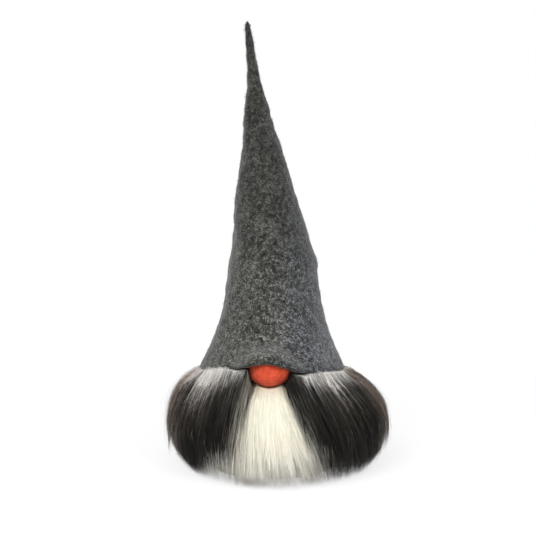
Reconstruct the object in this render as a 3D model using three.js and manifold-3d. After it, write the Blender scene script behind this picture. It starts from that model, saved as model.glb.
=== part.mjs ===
// Tomte: a stuffed cloth figure under a tall felt hat, with a felted nose and long-haired pelts round it.
// Millimetres, +Z up. The figure faces -Y, and the origin is the middle of its flat underside.
import * as THREE from "three";
import { mergeVertices } from "three/addons/utils/BufferGeometryUtils.js";
import Module from "manifold-3d";

const wasm = await Module();
wasm.setup();

// Clearances
const touchGap = 0.3; // between pieces that lie against each other
const hairGap = 0.8; // between one fall of hair and the next
const hideGap = 0.6; // between the hides and the body, and between the hides and their hair
const headGap = 0.5; // between the head and the inside of the hat
const waddingGap = 0.85; // the felt slides round the wadding when the hat turns
const underBrimGap = 2.5; // the hair ends this far below the brim's edge, so that the hat can turn

// Foot
const footFeltWall = 2;
const footFeltBorder = 1.5; // stands out past the body all round, and takes the stitches
const boardWall = 3;
const boardInset = 1.5;

// Body and head, one sewn bag
const bodyRadius = 55;
const coverWall = 1.2;
const headCrownRise = 25; // height of the rounded top of the head
const headAboveShoulder = 7; // the head's top lies this far over the hat's shoulder

// Ballast bag
const sackWall = 0.8;
const sackHeight = 34;
const sackCorner = 12;
const sackNeckRadius = 6;
const sackNeckHeight = 7;
const sackFrillRadius = 9;
const sackFrillHeight = 6;
const tieRadius = 0.9;

// Pelts: a hide sewn round the body, and the hair that falls from it
const hideWall = 1.6;
const hideBottom = 44;
const hideBelowHair = 1.5; // the hair's roots stand over the hide's top edge
const bellyRadius = 100; // widest part of the hair
const bellyHeight = 42;
const hairFootRadius = 80;
const hairPinch = 6; // the foot draws in this much at both sides
const pinchAngle = 80;
const pinchReach = 24;
const frontFoot = 4; // and stands out this much at the front
const frontFootReach = 50;
const hairFloorGap = 0.6;
const fullerRight = 5; // the right side is fuller than the left by twice this
const hairTopInset = 4.5; // the hair leaves the brim this far inside its edge
const hairPower = 1.1; // how full the fall is above the belly: 1 is a quarter of an oval
const beardTopHalfAngle = 13;
const beardFootHalfAngle = 23.5;
const beardTurn = -3; // the beard hangs a little to the left, as the nose does
const beardDrift = 6.2; // and comes back towards the right as it falls
const seamThreadRadius = 0.5;

// Nose, a felted ball pressed flat on the body
const noseWidth = 37.4;
const noseDepth = 33;
const noseTall = 30;
const noseSink = 1; // its centre lies this far inside the body's surface
const noseAboveBrim = 13; // its centre over the brim's lowest edge
const noseThreadRadius = 0.6;
const noseKnotRadius = 1.8;
const noseThreadReach = 10; // into the nose

// Hat, one skin of felt
const feltWall = 3.2;
const brimRadius = 66.5;
const brimHeight = 85;
const waistRise = 68; // from the brim up to where its flare ends
const waistRadius = 43.7;
const flarePower = 1.35;
const shoulderRise = 30; // from the waist up to where the head's top ends inside
const shoulderRadius = 40.4;
const coneRise = 159; // from the shoulder up to the kink
const kinkRadius = 6.7;
const tipRise = 61;
const tipRadius = 4.9;
const hatLean = 22.5; // the tip leans to the left
const leanPower = 1.05;
const leanAboveShoulder = 7;
const closedRise = 24; // below the kink the felt is closed to a solid point
const closedDome = 14;
const frontLift = 12; // the brim rises towards the front
const archLift = 9; // and once more over the nose
const archEndAngle = 30; // on either side of it
const bulgeFlatAngle = 9;
const bulgeEndAngle = 33;
const archRoom = 3; // between the nose and the felt over it
const bulgeEndRise = 33; // the bulge has faded at this height over the brim
const leftLift = 4.3; // a second, lower rise of the brim left of the nose
const leftLiftAngle = -38;
const leftLiftReach = 45;
const liftFadeRise = 44;

// Wadding in the cone of the hat
const waddingAboveHead = 18;
const waddingRise = 58;
const waddingCrown = 10;

// Motion
const bendLimit = 40; // the tip bends this far to either side
const bendSpare = 8;

// Levels and radii that follow
const waistHeight = brimHeight + waistRise;
const shoulderHeight = waistHeight + shoulderRise;
const kinkHeight = shoulderHeight + coneRise;
const hatTop = kinkHeight + tipRise;
const leanStart = shoulderHeight + leanAboveShoulder;
const cavityTop = kinkHeight - closedRise;
const headTop = shoulderHeight + headAboveShoulder;
const coverBottom = footFeltWall + touchGap;
const boardBottom = footFeltWall + touchGap;
const sackBottom = boardBottom + boardWall + touchGap;
const coverInnerRadius = bodyRadius - coverWall;
const hideInnerRadius = bodyRadius + hideGap;
const hideOuterRadius = hideInnerRadius + hideWall;
const hairInnerRadius = hideOuterRadius + hideGap;
const noseReach = bodyRadius - noseSink;
const noseHeight = brimHeight + noseAboveBrim;
const noseAngle = beardTurn;
const archBulge = noseReach + noseDepth / 2 + archRoom + feltWall - brimRadius;

const { clamp, degToRad, lerp, smoothstep } = THREE.MathUtils;

// Small numbers shared by the shapes
const roundSteps = 36;
const hatSteps = 44;
const smallSteps = 24;
const edgeSteps = 3;

// Colours
const feltGrey = { color: 0x4b4c49, roughness: 0.96, metalness: 0 };
const feltRed = { color: 0xcc563e, roughness: 0.95, metalness: 0 };
const hairDark = { color: 0x2b2b26, roughness: 0.62, metalness: 0 };
const hairCream = { color: 0xe9e3d0, roughness: 0.62, metalness: 0 };
const hideBuff = { color: 0xc2ab88, roughness: 0.85, metalness: 0 };
const linen = { color: 0xb9b09c, roughness: 0.92, metalness: 0 };
const feltFoot = { color: 0x3a3a38, roughness: 0.95, metalness: 0 };
const cardGrey = { color: 0x9a8f7c, roughness: 0.9, metalness: 0 };
const cotton = { color: 0xdfdacd, roughness: 0.95, metalness: 0 };
const fibre = { color: 0xf1efe9, roughness: 1, metalness: 0 };
const sand = { color: 0xc9b48a, roughness: 0.95, metalness: 0 };
const thread = { color: 0x2a2a2a, roughness: 0.8, metalness: 0 };

const tomte = new THREE.Group();

function addPiece(name, geometry, finish) {
  const mesh = new THREE.Mesh(geometry, new THREE.MeshStandardMaterial(finish));
  mesh.name = name;
  tomte.add(mesh);
  return mesh;
}

// A closed geometry as a solid, and a solid back as a geometry
function toSolid(geometry) {
  const bare = geometry.clone();
  bare.deleteAttribute("normal");
  bare.deleteAttribute("uv");
  const merged = mergeVertices(bare, 1e-4);
  return new wasm.Manifold(
    new wasm.Mesh({
      numProp: 3,
      vertProperties: merged.attributes.position.array,
      triVerts: new Uint32Array(merged.index.array),
    }),
  );
}

function toGeometry(solid) {
  const mesh = solid.getMesh();
  const geometry = new THREE.BufferGeometry();
  geometry.setAttribute("position", new THREE.BufferAttribute(mesh.vertProperties, 3));
  geometry.setIndex(new THREE.BufferAttribute(mesh.triVerts, 1));
  geometry.computeVertexNormals();
  return geometry;
}

// Turns a profile of [radius, height] round the Z axis. Its first column of points faces -Y.
function turned(profile, steps = roundSteps) {
  const points = profile.map(([radius, height]) => new THREE.Vector2(radius, height));
  return new THREE.LatheGeometry(points, steps).rotateX(Math.PI / 2);
}

// Moves every point of a geometry by a rule that takes and gives a Vector3
function reshaped(geometry, rule) {
  const position = geometry.attributes.position;
  const point = new THREE.Vector3();
  for (let i = 0; i < position.count; i++) {
    rule(point.fromBufferAttribute(position, i));
    position.setXYZ(i, point.x, point.y, point.z);
  }
  geometry.computeVertexNormals();
  return geometry;
}

// A place by its angle round the body, 0 at the front and growing to the right, in degrees
function onRound(point, angle, radius, height) {
  const turn = degToRad(angle);
  return point.set(radius * Math.sin(turn), -radius * Math.cos(turn), height);
}

function angleOf(point) {
  return THREE.MathUtils.radToDeg(Math.atan2(point.x, -point.y));
}

// The turn from one angle to another, between -180 and 180
function turnBetween(angle, from) {
  return THREE.MathUtils.euclideanModulo(angle - from + 180, 360) - 180;
}

// Heights from low to high, in equal steps
function levels(low, high, count) {
  return Array.from({ length: count + 1 }, (_, i) => lerp(low, high, i / count));
}

// Radius of the hat's outside at a height
function hatRadius(height) {
  if (height <= waistHeight) {
    const below = clamp((waistHeight - height) / waistRise, 0, 1);
    return waistRadius + (brimRadius - waistRadius) * below ** flarePower;
  }
  if (height <= shoulderHeight) {
    return lerp(waistRadius, shoulderRadius, (height - waistHeight) / shoulderRise);
  }
  if (height <= kinkHeight) {
    return lerp(shoulderRadius, kinkRadius, (height - shoulderHeight) / coneRise);
  }
  const along = clamp((height - kinkHeight) / tipRise, 0, 1);
  return tipRadius * Math.sqrt(1 - along ** 3) + (kinkRadius - tipRadius) * (1 - along) ** 5;
}

// How far the hat's centre line has moved to the left at a height
function leanAt(height) {
  const along = clamp((height - leanStart) / (hatTop - leanStart), 0, 1);
  return -hatLean * along ** leanPower;
}

// Shares of the arch and of the bulge under it, 1 over the nose and falling to 0 on either side
function archShare(angle) {
  return 1 - smoothstep(Math.abs(angle - noseAngle), 0, archEndAngle);
}

function bulgeShare(angle) {
  return 1 - smoothstep(Math.abs(angle - noseAngle), bulgeFlatAngle, bulgeEndAngle);
}

// The brim is lowest at the back and rises to the front, a little more on the left
function frontRise(angle) {
  const towardsFront = (1 + Math.cos(degToRad(angle))) / 2;
  const left = 1 - smoothstep(Math.abs(turnBetween(angle, leftLiftAngle)), 0, leftLiftReach);
  return frontLift * towardsFront ** 1.5 + leftLift * left;
}

// Gives the hat its raised brim, the bulge over the nose and its lean
function drapeFelt(point) {
  const angle = angleOf(point);
  const radius = Math.hypot(point.x, point.y);
  const fade = 1 - smoothstep(point.z, brimHeight, brimHeight + liftFadeRise);
  const bulgeFade = clamp((brimHeight + bulgeEndRise - point.z) / bulgeEndRise, 0, 1);
  const height = point.z + (frontRise(angle) + archLift * archShare(angle)) * fade;
  const swell = radius > 0 ? archBulge * bulgeShare(angle) * bulgeFade : 0;
  onRound(point, angle, radius + swell, height);
  point.x += leanAt(point.z);
}

function leaned(point) {
  point.x += leanAt(point.z);
}

// The body's outline, cloth outside, from the foot to the top of the head: a straight bag, then a head
// that fills the hat, then a rounded crown
function bodyOutline() {
  const roomInHat = bodyRadius + feltWall + headGap - waistRadius;
  const flared = clamp(roomInHat / (brimRadius - waistRadius), 0, 1);
  const straightTop = waistHeight - waistRise * flared ** (1 / flarePower);
  const crownStart = headTop - headCrownRise;
  const headRadius = (height) => Math.min(bodyRadius, hatRadius(height) - feltWall - headGap);
  const head = levels(straightTop, crownStart, 6).map((height) => [headRadius(height), height]);
  const crown = levels(0, 90, 6).slice(1, -1).map((turn) => {
    const up = Math.sin(degToRad(turn));
    return [headRadius(crownStart) * (1 - up ** 2.6) ** (1 / 2.6), crownStart + headCrownRise * up];
  });
  return [[bodyRadius, coverBottom], ...head, ...crown, [0, headTop]];
}

// The same outline moved inwards by an inset, along its normals
function insetOutline(outline, inset) {
  return outline.map(([radius, height], i) => {
    if (radius === 0) return [0, height - inset];
    const [nextRadius, nextHeight] = outline[i + 1];
    const [lastRadius, lastHeight] = outline[Math.max(i - 1, 0)];
    const along = new THREE.Vector2(nextRadius - lastRadius, nextHeight - lastHeight).normalize();
    const drop = i === 0 ? 0 : along.x * inset;
    return [radius - along.y * inset, height + drop];
  });
}

function makeFoot() {
  const feltRadius = bodyRadius + footFeltBorder;
  const felt = turned([
    [0, 0],
    [feltRadius, 0],
    [feltRadius, footFeltWall],
    [0, footFeltWall],
  ]);
  addPiece("base_cloth", felt, feltFoot);

  const boardRadius = coverInnerRadius - boardInset;
  const boardTop = boardBottom + boardWall;
  const board = turned([
    [0, boardBottom],
    [boardRadius, boardBottom],
    [boardRadius, boardTop],
    [0, boardTop],
  ]);
  addPiece("base_board", board, cardGrey);

  const stitchRadius = (footFeltBorder - touchGap) / 2;
  const stitch = new THREE.TorusGeometry(bodyRadius + touchGap + stitchRadius, stitchRadius, 6, 32);
  stitch.translate(0, 0, footFeltWall + touchGap + stitchRadius);
  addPiece("base_seam", stitch, thread);
}

// The outline of the ballast bag's outside, made smaller by an inset, up to the foot of its neck
function sackBody(inset) {
  const radius = coverInnerRadius - touchGap - inset;
  const low = sackBottom + inset;
  const high = sackBottom + sackHeight - inset;
  const corner = sackCorner - inset;
  const arc = levels(0, 90, edgeSteps);
  const bottom = arc.map((turn) => [
    radius - corner + corner * Math.sin(degToRad(turn)),
    low + corner - corner * Math.cos(degToRad(turn)),
  ]);
  const shoulder = arc.map((turn) => [
    radius - corner + corner * Math.cos(degToRad(turn)),
    high - corner + corner * Math.sin(degToRad(turn)),
  ]);
  return [...bottom, ...shoulder];
}

function makeBallast() {
  const shoulderTop = sackBottom + sackHeight;
  const neckTop = shoulderTop + sackNeckHeight;
  const frillTop = neckTop + sackFrillHeight;
  const profile = [
    [0, sackBottom],
    ...sackBody(0),
    [sackNeckRadius, shoulderTop],
    [sackNeckRadius, neckTop],
    [sackFrillRadius, frillTop],
    [sackFrillRadius - sackWall, frillTop],
    [sackNeckRadius - sackWall, neckTop],
    [sackNeckRadius - sackWall, shoulderTop - sackWall],
    ...sackBody(sackWall).reverse(),
    [0, sackBottom + sackWall],
  ];
  addPiece("ballast_sack", turned(profile, smallSteps), cotton);

  const fill = sackWall + touchGap;
  const grains = [[0, sackBottom + fill], ...sackBody(fill), [0, shoulderTop - fill]];
  addPiece("ballast_sand", turned(grains, smallSteps), sand);

  const tie = new THREE.TorusGeometry(sackNeckRadius + touchGap + tieRadius, tieRadius, 6, 20);
  tie.translate(0, 0, shoulderTop + touchGap + tieRadius);
  addPiece("sack_tie", tie, thread);
}

// The thread that holds the nose, made wider by a margin: a cord with a knot behind the cloth
function noseThread(margin) {
  const knotAt = coverInnerRadius - touchGap - noseKnotRadius;
  const end = bodyRadius + noseThreadReach + margin;
  const radius = noseThreadRadius + margin;
  const cord = new THREE.CylinderGeometry(radius, radius, end - knotAt, 10);
  cord.translate(0, (end + knotAt) / 2, 0);
  const knot = new THREE.SphereGeometry(noseKnotRadius + margin, 14, 10);
  knot.translate(0, knotAt, 0);
  const both = toGeometry(toSolid(cord).add(toSolid(knot)));
  both.rotateZ(Math.PI + degToRad(noseAngle));
  both.translate(0, 0, noseHeight);
  return both;
}

function noseBall(margin) {
  const ball = new THREE.SphereGeometry(1, 24, 16);
  ball.rotateX(Math.PI / 2);
  ball.scale(noseWidth / 2 + margin, noseDepth / 2 + margin, noseTall / 2 + margin);
  ball.rotateZ(degToRad(noseAngle));
  const centre = onRound(new THREE.Vector3(), noseAngle, noseReach, noseHeight);
  return ball.translate(centre.x, centre.y, centre.z);
}

function makeBody() {
  const sleeve = toSolid(noseThread(touchGap));
  const outside = bodyOutline();
  const inside = insetOutline(outside, coverWall).reverse();
  const cover = toSolid(turned([...inside, ...outside])).subtract(sleeve);
  addPiece("body_cover", toGeometry(cover), linen);

  const sackTop = sackBottom + sackHeight + touchGap;
  const frillTop = sackBottom + sackHeight + sackNeckHeight + sackFrillHeight + touchGap;
  const neckRoom = sackFrillRadius + touchGap;
  const [, ...fill] = insetOutline(outside, coverWall + touchGap);
  const foot = [coverInnerRadius - touchGap, sackTop];
  const stuffing = turned([[0, frillTop], [neckRoom, frillTop], [neckRoom, sackTop], foot, ...fill]);
  addPiece("body_wadding", toGeometry(toSolid(stuffing).subtract(sleeve)), fibre);
}

function makeNose() {
  const clearBody = turned([[0, coverBottom], ...insetOutline(bodyOutline(), -touchGap)]);
  const ball = toSolid(noseBall(0)).subtract(toSolid(clearBody)).subtract(toSolid(noseThread(touchGap)));
  addPiece("nose", toGeometry(ball), feltRed);
  addPiece("nose_thread", noseThread(0), thread);
}

// Level of the hair's top, which follows the brim but not its arch
function hairTopAt(angle) {
  return brimHeight + frontRise(angle) - underBrimGap;
}

// The beard stops just above the nose's lower edge
const beardTop = noseHeight - noseTall / 2 + 5;

// Outside radius of the hair by angle and height: a quarter round over the belly and another under it
function hairRadius(angle, height, top) {
  const fuller = fullerRight * Math.sin(degToRad(angle));
  const neck = brimRadius - hairTopInset;
  if (height >= bellyHeight) {
    const up = clamp((height - bellyHeight) / (top - bellyHeight), 0, 1);
    const out = (1 - up ** (2 / hairPower)) ** (hairPower / 2);
    return neck + (bellyRadius + fuller * out ** 2 - neck) * out;
  }
  const down = clamp((bellyHeight - height) / bellyHeight, 0, 1);
  const pinch = hairPinch * Math.exp(-(((Math.abs(angle) - pinchAngle) / pinchReach) ** 2));
  const front = frontFoot * Math.exp(-((angle / frontFootReach) ** 2));
  const foot = hairFootRadius + fuller - pinch + front;
  return foot + (bellyRadius + fuller - foot) * Math.sqrt(1 - down ** 2);
}

// Angles of the beard's two borders at a height
function beardBorder(height, side) {
  const fallen = 1 - clamp(height / beardTop, 0, 1);
  return beardTurn + beardDrift * fallen + side * lerp(beardTopHalfAngle, beardFootHalfAngle, fallen);
}

const backBorder = 180;
const borders = {
  beard: (height) => [beardBorder(height, -1), beardBorder(height, 1)],
  left: (height) => [-backBorder, beardBorder(height, -1)],
  right: (height) => [beardBorder(height, 1), backBorder],
};

// A block bent round the body between two borders, from an inner to an outer radius
function sector(range, margin, bottom, topAt, innerRadius, outerAt, steps, rows) {
  const block = new THREE.BoxGeometry(1, 1, 1, steps, 1, rows);
  return reshaped(block, (point) => {
    const rough = lerp(bottom, brimHeight, point.z + 0.5);
    const [roughFrom, roughTo] = range(rough);
    const roughAngle = lerp(roughFrom, roughTo, point.x + 0.5);
    const top = topAt(roughAngle);
    const share = point.z + 0.5;
    const height = lerp(bottom, top, 1 - (1 - share) ** 1.35);
    const [from, to] = range(height);
    const outward = 0.5 - point.y;
    const radius = lerp(innerRadius, outerAt(roughAngle, height, top), outward);
    const spare = THREE.MathUtils.radToDeg(margin / radius);
    const angle = lerp(from + spare, to - spare, point.x + 0.5);
    onRound(point, angle, radius, height);
  });
}

function makePelts() {
  const noseRoom = toSolid(noseBall(touchGap));
  const finishes = { beard: hairCream, left: hairDark, right: hairDark };
  for (const [side, range] of Object.entries(borders)) {
    const steps = side === "beard" ? 7 : 16;
    const hairTop = side === "beard" ? () => beardTop : hairTopAt;
    const hair = sector(range, hairGap / 2, hairFloorGap, hairTop, hairInnerRadius, hairRadius, steps, 11);
    addPiece(side + "_hair", toGeometry(toSolid(hair).subtract(noseRoom)), finishes[side]);

    const hideTop = (angle) => hairTop(angle) - hideBelowHair;
    const seamRoom = seamThreadRadius + touchGap;
    const hideOuter = () => hideOuterRadius;
    const hide = sector(range, seamRoom, hideBottom, hideTop, hideInnerRadius, hideOuter, steps, 4);
    addPiece(side + "_hide", toGeometry(toSolid(hide).subtract(noseRoom)), hideBuff);
  }
}

// The thread that draws two hides together, edge to edge
function makeSeam(name, angleAt, top) {
  const radius = (hideInnerRadius + hideOuterRadius) / 2;
  const path = levels(hideBottom, top, 4).map((height) =>
    onRound(new THREE.Vector3(), angleAt(height), radius, height),
  );
  const section = new THREE.Shape().absarc(0, 0, seamThreadRadius, 0, 2 * Math.PI);
  const seam = new THREE.ExtrudeGeometry(section, {
    extrudePath: new THREE.CatmullRomCurve3(path),
    steps: 8,
    curveSegments: 4,
    bevelEnabled: false,
  });
  addPiece(name, seam, thread);
}

function makeSeams() {
  const cheekTop = noseHeight - noseTall / 2 - hideBelowHair;
  makeSeam("left_cheek_seam", (height) => beardBorder(height, -1), cheekTop);
  makeSeam("right_cheek_seam", (height) => beardBorder(height, 1), cheekTop);
  makeSeam("back_seam", () => backBorder, hairTopAt(backBorder) - hideBelowHair);
}

// Inside radius of the hat: the felt closes to a point below the kink
function hatInnerRadius(height) {
  const up = clamp((height - (cavityTop - closedDome)) / closedDome, 0, 1);
  return (hatRadius(height) - feltWall) * Math.sqrt(1 - up ** 2);
}

function makeHat() {
  const ballRadius = kinkRadius + 0.15;
  const hinge = new THREE.Vector3(leanAt(kinkHeight), 0, kinkHeight);
  const cupDrop = (ballRadius + touchGap) * Math.sin(degToRad(bendLimit + bendSpare));
  const neckTop = kinkHeight - cupDrop;

  const edgeRadius = feltWall / 2;
  const edge = levels(0, 180, edgeSteps).map((turn) => [
    brimRadius - edgeRadius - edgeRadius * Math.cos(degToRad(turn)),
    brimHeight + edgeRadius - edgeRadius * Math.sin(degToRad(turn)),
  ]);
  const lowest = brimHeight + edgeRadius;
  const brimLevels = levels(lowest, waistHeight, 9).slice(1);
  const coneLevels = levels(waistHeight, cavityTop - closedDome, 5).slice(1);
  const domeLevels = levels(0, 90, 4)
    .slice(1, -1)
    .map((turn) => cavityTop - closedDome + closedDome * Math.sin(degToRad(turn)));
  const innerLevels = [...brimLevels, ...coneLevels, ...domeLevels];
  const inner = innerLevels.map((height) => [hatInnerRadius(height), height]);
  const outerLevels = [...brimLevels, ...levels(waistHeight, neckTop, 8).slice(1)];
  const outer = outerLevels.map((height) => [hatRadius(height), height]);
  const shell = reshaped(
    turned([[0, cavityTop], ...inner.reverse(), ...edge, ...outer, [0, neckTop]], hatSteps),
    drapeFelt,
  );
  const cup = new THREE.SphereGeometry(ballRadius + touchGap, 20, 14).translate(hinge.x, hinge.y, hinge.z);
  addPiece("hat_shell", toGeometry(toSolid(shell).subtract(toSolid(cup))), feltGrey);

  const tipLevels = levels(0, 90, 9)
    .slice(0, -1)
    .map((turn) => kinkHeight + tipRise * Math.sin(degToRad(turn)));
  const tipOutline = tipLevels.map((height) => [hatRadius(height), height]);
  const tip = reshaped(turned([[0, kinkHeight], ...tipOutline, [0, hatTop]], 16), leaned);
  const ball = new THREE.SphereGeometry(ballRadius, 20, 14).translate(hinge.x, hinge.y, hinge.z);
  addPiece("hat_tip", toGeometry(toSolid(tip).add(toSolid(ball))), feltGrey);
}

function makeHatWadding() {
  const bottom = headTop + waddingAboveHead;
  const top = bottom + waddingRise;
  const radiusAt = (height) => {
    const up = clamp((height - (top - waddingCrown)) / waddingCrown, 0, 1);
    return (hatInnerRadius(height) - waddingGap) * Math.sqrt(1 - 0.9 * up ** 2);
  };
  const outline = levels(bottom, top, 8).map((height) => [radiusAt(height), height]);
  const plug = reshaped(turned([[0, bottom], ...outline, [0, top]], smallSteps), leaned);
  addPiece("hat_wadding", plug, fibre);
}

makeFoot();
makeBallast();
makeBody();
makePelts();
makeSeams();
makeNose();
makeHatWadding();
makeHat();

export default tomte;
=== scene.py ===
"""Tomte: a stuffed cloth figure in long-haired pelts, with a felted nose, under a tall hat of felted wool.

Lengths are millimetres until a mesh is made, and metres in materials, lamps and camera. Angles are degrees
round the body, 0 at the front (-Y) and growing towards +X. Each strand of hair and each fibre of fuzz is a
small closed solid of its own.
"""
import math

import bpy
import numpy as np
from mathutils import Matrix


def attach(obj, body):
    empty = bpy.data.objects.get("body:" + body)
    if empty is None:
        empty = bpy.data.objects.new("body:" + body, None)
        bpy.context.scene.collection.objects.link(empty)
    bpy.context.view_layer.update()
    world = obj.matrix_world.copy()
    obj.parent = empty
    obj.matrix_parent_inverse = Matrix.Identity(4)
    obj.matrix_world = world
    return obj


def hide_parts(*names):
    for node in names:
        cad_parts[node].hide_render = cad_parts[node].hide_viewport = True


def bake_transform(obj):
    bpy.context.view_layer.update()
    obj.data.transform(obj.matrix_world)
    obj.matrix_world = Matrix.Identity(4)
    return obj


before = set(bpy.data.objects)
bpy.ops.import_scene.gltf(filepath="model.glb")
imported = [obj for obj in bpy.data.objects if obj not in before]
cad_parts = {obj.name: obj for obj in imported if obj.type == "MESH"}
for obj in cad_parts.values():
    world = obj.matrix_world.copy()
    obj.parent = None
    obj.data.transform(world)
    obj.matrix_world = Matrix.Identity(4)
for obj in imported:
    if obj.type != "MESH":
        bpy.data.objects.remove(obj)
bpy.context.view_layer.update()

MM = 0.001

# Hat
FELT_WALL = 3.2
BRIM_RADIUS = 66.5
BRIM_HEIGHT = 85.0
WAIST_HEIGHT = 153.0
WAIST_RADIUS = 43.7
FLARE_POWER = 1.35
SHOULDER_HEIGHT = 183.0
SHOULDER_RADIUS = 40.4
KINK_HEIGHT = 342.0
KINK_RADIUS = 6.7
TIP_ROUND = 380.0
HAT_TOP = 403.0
TIP_RADIUS = 4.9
LEAN = 22.5
LEAN_POWER = 1.05
LEAN_START = 190.0
CAVITY_TOP = 318.0
CAVITY_DOME = 14.0
FRONT_LIFT = 12.0
ARCH_LIFT = 9.0
ARCH_END = 30.0
BULGE_FLAT = 9.0
BULGE_SIDE = 33.0
ARCH_BULGE = 10.2
BULGE_END = 118.0
LIFT_END = 129.0
LEFT_LIFT = 4.3
LEFT_ANGLE = -38.0
LEFT_REACH = 45.0
BEND_HALF = 15.0
HAT_TURNS = (-5.0, 0.0, 5.0)
FOLD_ABOVE = 4.0
FOLD_ANGLE = 0.5
FOLD_HALF = 27.5
FOLD_RISE = 11.5
FOLD_OUT = 3.0
FOLD_CREASE = 0.8
FOLD_TUCK = 1.2
SHADE_BELOW = 6
HEAD_SWELL = 1.3
CREASE_DEPTH = 0.9
CREASE_HEIGHT = 262.0
SPIRAL_DEPTH = 0.9

# Nose
NOSE_ANGLE = -3.0
NOSE_REACH = 54.0
NOSE_HEIGHT = 98.0
NOSE_HALF = np.array([18.7, 16.5, 15.0])

# Body under the pelts
BODY_RADIUS = 55.0
HEAD_TOP = 190.0
HEAD_CROWN = 25.0
HEAD_GAP = 0.5
CROWN_POWER = 2.6
BODY_FOOT = 2.3
PLEATS = 9

# Fall of the hair
HIDE_RADIUS = 57.8
HAIR_START = 62.0
BELLY_RADIUS = 98.7
BELLY_HEIGHT = 42.0
BELLY_SHARE = 0.55
HAIR_FOOT = 80.0
FOOT_PINCH = 6.0
PINCH_ANGLE = 80.0
PINCH_REACH = 24.0
FRONT_FOOT = 7.2
FRONT_REACH = 50.0
FULLER_RIGHT = 5.0
UNDER_BRIM = 2.5
HAIR_LIFT = 0.92 * ARCH_LIFT
BEARD_TOP = 86.0
BEARD_HALF_TOP = 13.0
BEARD_HALF_FOOT = 23.5
BEARD_DRIFT = 6.2
BEARD_OVERLAP = 3.5
HAIR_POWER = 1.1

# Locks and strands
LOCK_WIDTH = 1.5
LOCK_TIERS = 2
THIN_REACH = 6.0
LOOSE_REACH = 12.0
LOCK_DRIFT = 1.5
LONG_SHARE = 0.09
LONG_ENDS = (0.85, 0.95)
STRAY_FROM = 0.93
STATION_POWER = 1.35
OWN_WAVE = 1.3
CROSSING = 3.0
TUFT_ANGLE = -31.0
TUFT_HALF = 9.0
MOST_PUFF = 6.5
ROOT_GAP = 0.3
COLUMNS = 512
STRAND_MAP = "OFBake"


def smoothstep(x, low, high):
    """0 up to low, 1 from high on, and 3s^2 - 2s^3 of the share s between them."""
    share = np.clip((x - low) / (high - low), 0, 1)
    return share * share * (3 - 2 * share)


def mix(a, b, share):
    """a at share 0 and b at share 1."""
    return a + (b - a) * share


def bell(x, middle, width):
    """exp(-((x - middle) / width)^2): 1 in the middle and near 0 at twice the width."""
    return np.exp(-(((x - middle) / width) ** 2))


def sind(angle):
    """Sine of an angle in degrees."""
    return np.sin(np.radians(angle))


def cosd(angle):
    """Cosine of an angle in degrees."""
    return np.cos(np.radians(angle))


def signed(angle):
    """An angle between -180 and 180."""
    return (angle + 180) % 360 - 180


def on_round(angle, radius, height):
    """x = radius sin(angle), y = -radius cos(angle), z = height."""
    return np.stack(np.broadcast_arrays(radius * sind(angle), -radius * cosd(angle), height), axis=-1)


def unit(vectors):
    """Vectors divided by their lengths."""
    return vectors / np.maximum(np.linalg.norm(vectors, axis=-1, keepdims=True), 1e-9)


def pushed_out(points, distance):
    """Points moved away from the body's axis."""
    return points + unit(points * [1, 1, 0]) * distance[..., None]


def lumps(points, wavelength, seed, waves=26):
    """Smooth lumps between about -1 and 1: a sum of sines along random directions.

    Each wave has a wavelength within a quarter of the given one and a random phase.
    """
    rng = np.random.default_rng(seed)
    direction = unit(rng.normal(size=(3, waves)).T).T
    number = 2 * math.pi / (wavelength * rng.uniform(0.75, 1.25, waves))
    phase = rng.uniform(0, 2 * math.pi, waves)
    flat = np.asarray(points).reshape(-1, 3)
    value = np.sin(flat @ (direction * number) + phase).sum(axis=1) / math.sqrt(waves / 2)
    return value.reshape(points.shape[:-1]) * 0.6


def placed(name, data, place=(0, 0, 0), turn=(0, 0, 0)):
    """A new object of the scene."""
    made = bpy.data.objects.new(name, data)
    made.location = place
    made.rotation_euler = turn
    bpy.context.collection.objects.link(made)
    return made


def make_piece(name, points, faces, material, uv=None, edge=None):
    """A mesh object from points in mm and a list of face arrays, each with one row of corners a face.

    uv gives each corner's place on the map, and edge a number from 0 to 1 for each point, by which the felt
    is darker with painted shade and, at its cut edge, dirt.
    """
    mesh = bpy.data.meshes.new(name)
    mesh.vertices.add(len(points))
    mesh.vertices.foreach_set("co", (points * MM).astype(np.float32).ravel())
    corners = np.concatenate([f.ravel() for f in faces]).astype(np.int32)
    sizes = np.concatenate([np.full(len(f), f.shape[1]) for f in faces])
    mesh.loops.add(len(corners))
    mesh.loops.foreach_set("vertex_index", corners)
    mesh.polygons.add(len(sizes))
    mesh.polygons.foreach_set("loop_start", (np.cumsum(sizes) - sizes).astype(np.int32))
    mesh.polygons.foreach_set("use_smooth", np.ones(len(sizes), bool))
    mesh.update(calc_edges=True)
    if uv is not None:
        places = np.concatenate([c.reshape(-1, 2) for c in uv]).astype(np.float32)
        mesh.uv_layers.new(name=STRAND_MAP).data.foreach_set("uv", places.ravel())
    if edge is not None:
        mesh.attributes.new("edge", "FLOAT", "POINT").data.foreach_set("value", edge.astype(np.float32))
    mesh.materials.append(material)
    return placed(name, mesh)


def fan(centre, ring):
    """Triangles from a centre point to the points of a ring, in the ring's order."""
    return np.stack([np.full(len(ring), centre), ring, np.roll(ring, -1)], axis=1)


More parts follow.
